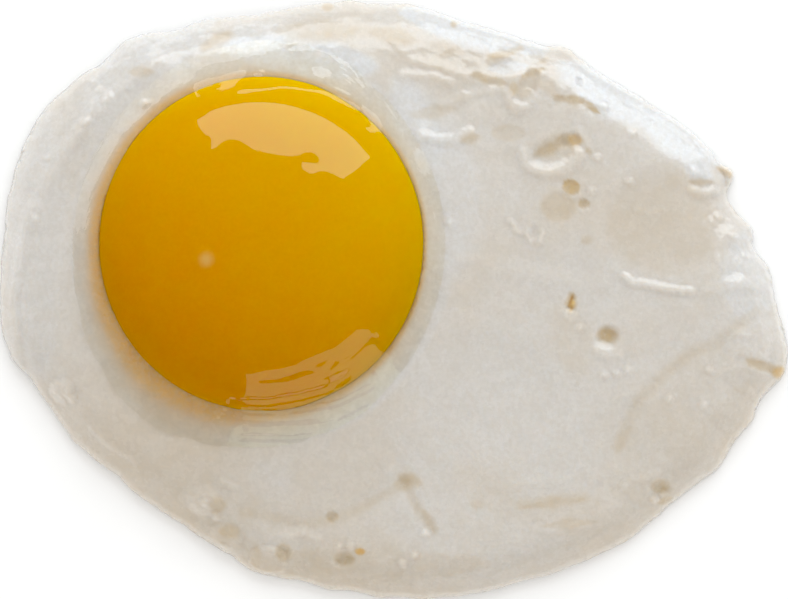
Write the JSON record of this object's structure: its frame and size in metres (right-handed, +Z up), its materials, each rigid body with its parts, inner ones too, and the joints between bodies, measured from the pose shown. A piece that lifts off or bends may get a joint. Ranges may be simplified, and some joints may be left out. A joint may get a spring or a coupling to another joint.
{
  "type": "fried egg",
  "caption": "Sunny-side-up fried egg: a set white with a frilly oval edge and a domed whole yolk off centre.",
  "frame": {"origin": "middle of the egg's footprint, on the surface it lies on", "axes": "+X along the egg's length, away from the yolk; +Y across it; +Z up, out of the yolk"},
  "size_m": [0.0999, 0.076, 0.0168],
  "materials": {
    "egg_white": "set egg white: creamy white, wet sheen, tan in its pits and round the yolk",
    "yolk": "runny yolk under a thin clear skin: deep golden orange, glossy",
    "clear_white": "clear unset white over the yolk and round its foot: smooth, wet, faintly yellow"
  },
  "bodies": {
    "root": {"white": "egg_white", "yolk": "yolk"}
  },
  "joints": []
}
